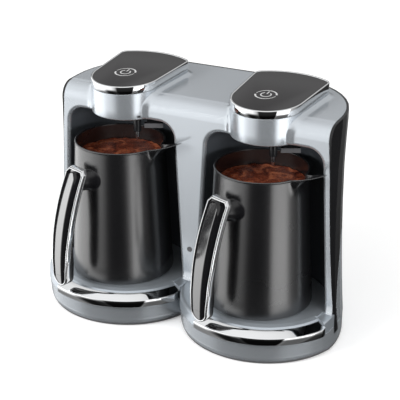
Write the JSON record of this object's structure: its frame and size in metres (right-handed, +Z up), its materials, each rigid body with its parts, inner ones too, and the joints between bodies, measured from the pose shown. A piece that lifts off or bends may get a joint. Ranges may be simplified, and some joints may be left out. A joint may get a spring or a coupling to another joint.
{
  "type": "electric Turkish coffee maker",
  "caption": "Electric Turkish coffee maker with stations side by side, each with a lift-off pot on a heated platform under an overhanging head with a touch key.",
  "frame": {"origin": "middle of the footprint, on the surface that the feet stand on", "axes": "+X to the right as the user faces the machine, +Y from the user towards the back, +Z up"},
  "size_m": [0.2578, 0.1578, 0.1956],
  "materials": {
    "silver_shell": "silver lacquer",
    "black_plastic": "satin",
    "grey_plastic": "satin",
    "light_plastic": "satin",
    "gloss_black": "polished",
    "bright_trim": "polished",
    "steel": "brushed",
    "heater_metal": "satin",
    "pot_coating": "satin coating",
    "circuit_board": "satin",
    "foot_rubber": "matte"
  },
  "bodies": {
    "machine": {"front_shell": "silver_shell", "rear_housing": "black_plastic", "lower_housing": "silver_shell", "base_shell": "silver_shell", "bottom_cover": "grey_plastic", "rubber_feet": "foot_rubber", "housing_screws": "steel", "screw_plug": "grey_plastic", "cord_gland": "black_plastic", "terminal_block": "light_plastic", "power_board": "circuit_board", "board_parts": "grey_plastic", "deck_left": "silver_shell", "deck_right": "silver_shell", "base_ring_left": "bright_trim", "base_ring_right": "bright_trim", "niche_liner_left": "black_plastic", "niche_liner_right": "black_plastic", "sensor_window_left": "grey_plastic", "sensor_window_right": "grey_plastic", "heater_plate_left": "heater_metal", "heater_plate_right": "heater_metal", "heating_element_left": "steel", "heating_element_right": "steel", "thermostat_left": "steel", "thermostat_right": "steel", "head_cover_left": "silver_shell", "head_cover_right": "silver_shell", "chrome_band_left": "bright_trim", "chrome_band_right": "bright_trim", "touch_panel_left": "gloss_black", "touch_panel_right": "gloss_black", "touch_board_left": "circuit_board", "touch_board_right": "circuit_board", "light_guide_left": "light_plastic", "light_guide_right": "light_plastic", "probe_sleeve_left": "black_plastic", "probe_sleeve_right": "black_plastic", "probe_tip_left": "steel", "probe_tip_right": "steel"},
    "pot_left": {"pot_body_left": "pot_coating", "handle_boss_left": "black_plastic", "handle_grip_left": "black_plastic", "handle_frame_left": "bright_trim", "handle_inlay_left": "gloss_black", "handle_screw_left": "steel"},
    "pot_right": {"pot_body_right": "pot_coating", "handle_boss_right": "black_plastic", "handle_grip_right": "black_plastic", "handle_frame_right": "bright_trim", "handle_inlay_right": "gloss_black", "handle_screw_right": "steel"}
  },
  "joints": [
    {"name": "pot_left_slide", "type": "slide", "parent": "machine", "child": "pot_left", "axis": [0, -1, 0], "range_m": [0, 0.19]},
    {"name": "pot_right_slide", "type": "slide", "parent": "machine", "child": "pot_right", "axis": [0, -1, 0], "range_m": [0, 0.19]}
  ]
}
